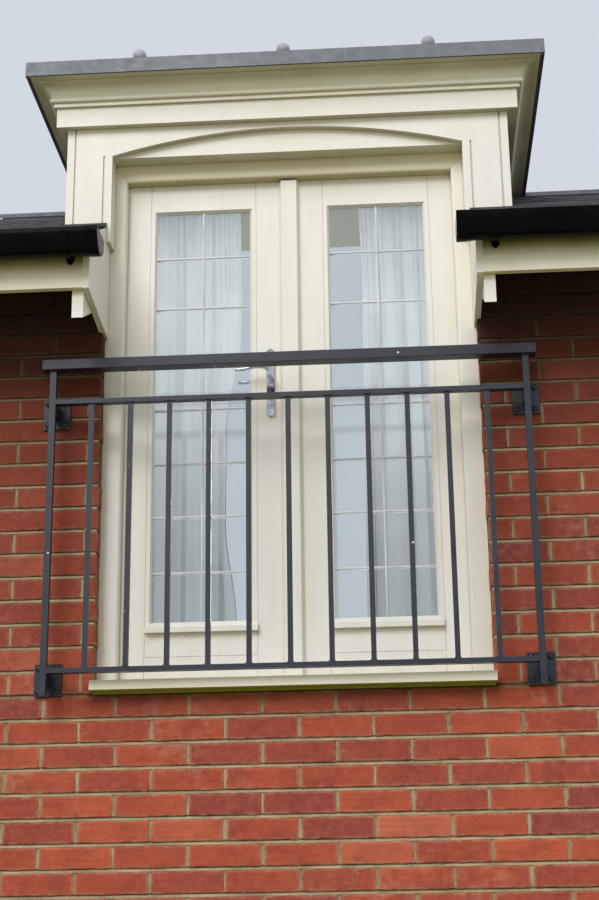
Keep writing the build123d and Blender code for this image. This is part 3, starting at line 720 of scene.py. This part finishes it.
def one_slate(bm, layer, x0, x1, tail, head, lift, tone):
    """A riven slate from depth tail up to depth head, lift below the roof's face at its tail."""
    steps = max(2, round((x1 - x0) / slate_step))
    rows = []
    for surface in (0, 1):
        for place in (0, 1):
            row = []
            for i in range(steps + 1):
                x = x0 + (x1 - x0) * i / steps
                ragged = tail_ragged * wobble(x, tail, 0, 20, tone * 11) if place == 0 else 0
                y = (tail + tail_gap + abs(ragged)) if place == 0 else head
                sink = lift + (head_sink if place else 0) + (slate_body if surface else 0)
                z = slate_surface(y) - sink * slope_stretch
                row.append(bm.verts.new((x * mm, y * mm, z * mm)))
            rows.append(row)
    top_tail, top_head, low_tail, low_head = rows
    faces = []
    for i in range(steps):
        faces.append(bm.faces.new((top_tail[i], top_tail[i + 1], top_head[i + 1], top_head[i])))
        faces.append(bm.faces.new((low_tail[i + 1], low_tail[i], low_head[i], low_head[i + 1])))
        faces.append(bm.faces.new((low_tail[i], low_tail[i + 1], top_tail[i + 1], top_tail[i])))
        faces.append(bm.faces.new((top_head[i], top_head[i + 1], low_head[i + 1], low_head[i])))
    for end in (0, steps):
        faces.append(bm.faces.new((top_tail[end], top_head[end], low_head[end], low_tail[end])))
    for face in faces:
        face[layer] = tone


def build_slates(bm):
    random.seed(slate_seed)
    layer = bm.faces.layers.float.new("tone")
    y, n = eaves_front, 0
    while y < ridge_depth - last_tail_gap:
        head = min(y + 2 * slate_gauge, ridge_depth)
        for x0, x1 in slate_spans(y, n):
            one_slate(bm, layer, x0, x1, y, head, 0.0, random.random())
        if n == 0:
            for x0, x1 in slate_spans(y, 1):
                one_slate(bm, layer, x0, x1, y + under_slate_set_back, y + slate_gauge,
                          slate_body + under_slate_gap, random.random())
        y += slate_gauge
        n += 1


# Leaded lights

def flat_strip(bm, start, end, out):
    """A half-round lead strip on the glass, from start to end, standing out along Y."""
    run = (end - start).normalized()
    side = run.cross(Vector((0, 1, 0))).normalized()
    rings = []
    pieces = max(2, round((end - start).length / came_step))
    for i in range(pieces + 1):
        centre = start.lerp(end, i / pieces)
        ring = []
        for k in range(came_facets + 1):
            angle = math.pi * k / came_facets
            wide = came_width / 2 * (1 + came_waver * wobble(centre.x, centre.z, i, 40, 2))
            point = centre + side * (wide * math.cos(angle))
            point.y += out * came_height * math.sin(angle)
            ring.append(bm.verts.new(point * mm))
        rings.append(ring)
    for first, second in zip(rings, rings[1:]):
        for k in range(came_facets):
            bm.faces.new((first[k], first[k + 1], second[k + 1], second[k]))
    for ring in (rings[0], rings[-1]):
        bm.faces.new(ring)


def build_cames(bm):
    for side in (-1, 1):
        for face_y, out in ((glass_front, -1), (glass_back, 1)):
            flat_strip(bm, Vector((side * came_across, face_y, glass_foot)),
                       Vector((side * came_across, face_y, glass_top)), out)
            for level in came_levels:
                flat_strip(bm, Vector((side * glass_inner, face_y, level)),
                           Vector((side * glass_outer, face_y, level)), out)


# Fixings on the balustrade

def bolt_head(bm, x, y, z):
    """A domed head whose axis points to the front; its profile gives radius and height in turn."""
    rings = []
    for radius, height in bolt_profile:
        ring = []
        for k in range(bolt_sides):
            angle = 2 * math.pi * k / bolt_sides
            place = Vector((x + radius * math.cos(angle), y - height, z + radius * math.sin(angle)))
            ring.append(bm.verts.new(place * mm))
        rings.append(ring)
    for first, second in zip(rings, rings[1:]):
        for k in range(bolt_sides):
            after = (k + 1) % bolt_sides
            bm.faces.new((first[k], first[after], second[after], second[k]))
    bm.faces.new(rings[-1])


def build_bolts(bm):
    for side in (-1, 1):
        for level in (bracket_foot + plate_half_height, bracket_top - plate_half_height):
            for across in (-bolt_across, bolt_across):
                for up in (-bolt_up, bolt_up):
                    bolt_head(bm, side * post_centre + across, plate_face, level + up)


def weld(bm, x, z, side, up):
    """A hollow weld in the corner between an upright and a rail."""
    rows = []
    for y in (bar_front + weld_inset, bar_back - weld_inset):
        row = [bm.verts.new((x * mm, y * mm, z * mm))]
        for k in range(weld_facets + 1):
            angle = math.pi / 2 * k / weld_facets
            px = x + side * weld_size * (1 - math.sin(angle))
            pz = z + up * weld_size * (1 - math.cos(angle))
            row.append(bm.verts.new((px * mm, y * mm, pz * mm)))
        rows.append(row)
    front, back = rows
    bm.faces.new(front)
    bm.faces.new(list(reversed(back)))
    for k in range(len(front)):
        j = (k + 1) % len(front)
        bm.faces.new((front[k], back[k], back[j], front[j]))


def build_welds(bm):
    last_centre = reach("balusters", 1, "X") - baluster_size / 2
    for index in range(baluster_count):
        centre = last_centre * (2 * index / (baluster_count - 1) - 1)
        for side in (-1, 1):
            weld(bm, centre + side * baluster_size / 2, rail_under, side, -1)
            weld(bm, centre + side * baluster_size / 2, rail_foot, side, 1)
    for side in (-1, 1):
        for rail in ("upper_rail", "handrail", "bottom_rail"):
            weld(bm, side * (post_centre - post_size / 2), reach(rail, 0, "Z"), -side, -1)


# Curtains

def along(points, z):
    """A value read off a list of (height, value) pairs, highest first."""
    for (z0, v0), (z1, v1) in zip(points, points[1:]):
        if z >= z1:
            share = (z - z1) / (z0 - z1)
            share = share * share * (3 - 2 * share)
            return v1 + (v0 - v1) * share
    return points[-1][1]


def curtain_point(side, edge, share, z):
    """Where a point of the cloth lies: share goes from the outer edge to the leading edge.

    The bare numbers shift the folds against each other, so that none of them repeats."""
    drop = (curtain_top - z) / (curtain_top - curtain_hem)
    inner = along(edge, z)
    gathered = math.exp(-drop * gather_fade)
    waver = 0.6 * math.sin(share * 7 + side) + 0.35 * math.sin(drop * 2.4 + share * 11)
    broad = 2 * math.pi * broad_waves * share + 1.6 * waver + 0.6 * math.sin(drop * 3)
    middle = 2 * math.pi * middle_waves * share + 1.6 * math.sin(drop * 4 + share * 9)
    fine = 2 * math.pi * fine_waves * share
    straight = edge[0][1]
    x = curtain_outer + (straight - curtain_outer) * share + (inner - straight) * share ** 3
    x += fold_sway * math.sin(2 * broad) * (1 - gathered)
    y = curtain_middle + broad_depth * math.cos(broad) * (1 - 0.8 * gathered)
    y += (middle_depth * math.cos(middle) * (1 - 0.5 * gathered)
          + fine_depth * math.cos(fine) * (0.12 + 0.8 * gathered))
    return side * x, min(max(y, curtain_near), curtain_far)


def make_curtain(side, name, node, edge, material):
    def build(bm):
        rows = []
        for k in range(cloth_down + 1):
            z = curtain_top + (curtain_hem - curtain_top) * k / cloth_down
            row = []
            for i in range(cloth_across + 1):
                x, y = curtain_point(side, edge, i / cloth_across, z)
                row.append(bm.verts.new((x * mm, y * mm, z * mm)))
            rows.append(row)
        for low, high in zip(rows, rows[1:]):
            for i in range(cloth_across):
                bm.faces.new((low[i], low[i + 1], high[i + 1], high[i]))

    piece = new_piece(name, build, material, smooth=True)
    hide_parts(node)


# Light, floor and camera

def background_rays(tree):
    """1 for a ray that shows the background, straight or by gloss or glass, and 0 for light on a surface."""
    path = tree.nodes.new("ShaderNodeLightPath").outputs
    seen = path["Is Camera Ray"]
    for ray in ("Is Glossy Ray", "Is Transmission Ray"):
        either = tree.nodes.new("ShaderNodeMath")
        either.operation = "MAXIMUM"
        tree.links.new(seen, either.inputs[0])
        tree.links.new(path[ray], either.inputs[1])
        seen = either.outputs[0]
    return seen


def make_light():
    """A pale backdrop, plain light from the sky, dimmer light from the ground, and two soft suns."""
    world = bpy.data.worlds.new("sky")
    world.use_nodes = True
    tree = world.node_tree
    direction = tree.nodes.new("ShaderNodeTexCoord")
    split = tree.nodes.new("ShaderNodeSeparateXYZ")
    horizon = tree.nodes.new("ShaderNodeMapRange")
    horizon.inputs["From Min"].default_value = horizon_low
    horizon.inputs["From Max"].default_value = horizon_high
    ambient = tree.nodes.new("ShaderNodeMix")
    ambient.data_type = "RGBA"
    ambient.inputs[6].default_value = ground_light
    ambient.inputs[7].default_value = shade_light
    tree.links.new(direction.outputs["Generated"], split.inputs[0])
    tree.links.new(split.outputs["Z"], horizon.inputs["Value"])
    tree.links.new(horizon.outputs["Result"], ambient.inputs[0])
    backdrop = tree.nodes.new("ShaderNodeMix")
    backdrop.data_type = "RGBA"
    backdrop.inputs[7].default_value = sky_light
    tree.links.new(background_rays(tree), backdrop.inputs[0])
    tree.links.new(ambient.outputs[2], backdrop.inputs[6])
    tree.links.new(backdrop.outputs[2], tree.nodes["Background"].inputs["Color"])
    bpy.context.scene.world = world
    add_sun("front_sun", towards=(-0.42, -0.95, 0.88), strength=2.05, spread=32)
    back_sun = add_sun("back_sun", towards=(0.25, 1.0, 0.2), strength=1.9, spread=30)
    back_sun.visible_glossy = False


def add_sun(name, towards, strength, spread):
    """A soft lamp far away in the direction towards, spread degrees wide."""
    sun = bpy.data.lights.new(name, "SUN")
    sun.energy = strength
    sun.angle = math.radians(spread)
    sun.color = sun_tint
    lamp = bpy.data.objects.new(name, sun)
    bpy.context.scene.collection.objects.link(lamp)
    lamp.rotation_euler = Vector(towards).to_track_quat("Z", "Y").to_euler()
    return lamp


def make_floor():
    """A pale pad that shows from above only, so that the low camera sees past its edge."""
    bm = bmesh.new()
    bmesh.ops.create_grid(bm, x_segments=1, y_segments=1, size=floor_half)
    mesh = bpy.data.meshes.new("floor")
    bm.to_mesh(mesh)
    bm.free()
    floor = bpy.data.objects.new("floor", mesh)
    bpy.context.scene.collection.objects.link(floor)
    m = Finish("floor", roughness=0.9, specular=0.1)
    pale = m.blend(m.span(m.noise(0.6, 3), 0.3, 0.7), colour(204, 207, 212), colour(210, 212, 216))
    m.done(m.blend(background_rays(m.tree), ground_light, pale))
    clear = m.tree.nodes.new("ShaderNodeBsdfTransparent")
    under = m.tree.nodes.new("ShaderNodeNewGeometry").outputs["Backfacing"]
    m.mix(under, m.shader.outputs[0], clear.outputs[0])
    mesh.materials.append(m.material)


def make_camera():
    """The eye stands below the balcony and looks up at it, a little from the right."""
    yaw, pitch = camera_yaw, camera_pitch
    ahead = Vector((math.sin(yaw) * math.cos(pitch), math.cos(yaw) * math.cos(pitch), math.sin(pitch)))
    level = Vector((math.cos(yaw), -math.sin(yaw), 0))
    upright = level.cross(ahead)
    right = level * math.cos(camera_roll) + upright * math.sin(camera_roll)
    up = upright * math.cos(camera_roll) - level * math.sin(camera_roll)
    data = bpy.data.cameras.new("camera")
    data.lens = camera_lens
    data.sensor_width = camera_sensor
    data.clip_end = camera_clip
    camera = bpy.data.objects.new("camera", data)
    bpy.context.scene.collection.objects.link(camera)
    turn = Matrix((right, up, -ahead)).transposed()
    camera.matrix_world = Matrix.Translation(camera_place) @ turn.to_4x4()
    bpy.context.scene.camera = camera


# Putting it together

def dress_nodes(finishes):
    """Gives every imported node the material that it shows."""
    for material, names in finishes:
        for name in names:
            mesh = frame["nodes"][name].data
            mesh.materials.clear()
            mesh.materials.append(material)


def main():
    cream = painted_timber("door_paint", colour(239, 237, 235), colour(233, 230, 225), 0.3)
    # Painted shade: the frame head gets a darker, more olive copy of the cream paint, for the shade under the
    # arch
    shaded_head_paint = painted_timber("shaded_head_paint", colour(225, 218, 195), colour(217, 208, 180), 0.6)
    white = painted_timber("surround_paint", colour(238, 237, 234), colour(233, 231, 224), 0.5)
    sill_paint = painted_timber("sill_paint", colour(244, 241, 229), colour(232, 227, 208), 1.0,
                                wet_foot=sill_nose * mm)
    # The cornice and the fascia get olive painted shade at their tops, under the lead and the gutter, and the
    # cornice's soffit ends a band of painted shade
    cornice_paint = painted_timber("cornice_paint", colour(240, 240, 230), colour(234, 231, 216), 0.42,
                                   green=(2.73, 0.05, 0.38), shaded_drip=reach("cornice", 1, "X") * mm)
    eaves_paint = painted_timber("eaves_paint", colour(242, 239, 224), colour(234, 229, 208), 0.4,
                                 green=(1.952, 0.055, 0.9))
    lead = lead_sheet("lead", colour(118, 123, 134), colour(105, 109, 119))
    pale_lead = lead_sheet("roll_lead", colour(182, 187, 196), colour(140, 145, 155))
    slate = slate_face()
    brick, mortar = brick_face(), mortar_bed()
    metal = coated_metal("powder_coat", colour(33, 38, 52), colour(24, 28, 41))
    # Painted shade: the wall brackets get a darker copy of the balustrade's powder coat
    shaded_bracket_coat = coated_metal("shaded_bracket_coat", colour(30, 33, 41), colour(22, 24, 31))
    bolt_metal = coated_metal("bolt_metal", colour(26, 27, 31), colour(16, 17, 20))
    plastic, chrome = gutter_plastic(), polished_metal()
    plaster = matt_wall("plaster", colour(232, 229, 220), colour(224, 221, 211))
    ceiling = matt_wall("ceiling_paint", colour(242, 246, 254), colour(234, 239, 248))
    timber, cloth, glass = sawn_timber(), woven_cloth(), clear_glass()
    came = lead_sheet("came", colour(228, 230, 235), colour(200, 203, 211), 0.25)
    tile = lead_sheet("ridge_tile", colour(100, 103, 112), colour(76, 79, 88))
    dress_nodes([
        (cream, ["frame_jambs", "left_leaf", "right_leaf", "glazing_beads", "cover_strip",
                 "weather_bars", "eaves_end_boards", "inner_threshold"]),
        (eaves_paint, ["fascia_boards"]),
        (shaded_head_paint, ["frame_head"]),
        (white, ["pilasters", "arch_board", "tympanum", "frieze", "rafter_feet"]),
        (cornice_paint, ["cornice"]),
        (sill_paint, ["door_sill"]),
        (lead, ["lead_roof", "dormer_cheeks"]),
        (pale_lead, ["roll_caps"]),
        (slate, ["slates"]),
        (tile, ["ridge_tiles"]),
        (brick, ["wall_below_sill", "wall_piers"]),
        (metal, ["balcony_posts", "balusters", "bottom_rail", "upper_rail", "handrail"]),
        (shaded_bracket_coat, ["wall_brackets"]),
        (plastic, ["gutters", "gutter_brackets"]),
        (chrome, ["handle_levers", "handle_plates", "hinges", "curtain_track"]),
        (plaster, ["inner_plaster"]),
        (ceiling, ["dormer_ceiling"]),
        (timber, ["rafters", "roof_boards", "roof_deck", "wall_plates"]),
        (cloth, ["left_curtain", "right_curtain"]),
        (glass, ["door_glass"]),
    ])
    bricks = new_piece("bricks", build_bricks, brick)
    bed = new_piece("mortar", build_mortar, mortar)
    for piece in (bricks, bed):
        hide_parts("wall_below_sill", "wall_piers")
    roof = new_piece("slate_courses", build_slates, slate)
    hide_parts("slates")
    new_piece("cames", build_cames, came, smooth=True)
    new_piece("bolts", build_bolts, bolt_metal, smooth=True)
    new_piece("welds", build_welds, metal)
    make_curtain(-1, "left_pleats", "left_curtain", left_edge, cloth)
    make_curtain(1, "right_pleats", "right_curtain", right_edge, cloth)
    make_light()
    make_floor()
    make_camera()
    bpy.context.scene.view_settings.view_transform = "Standard"


main()
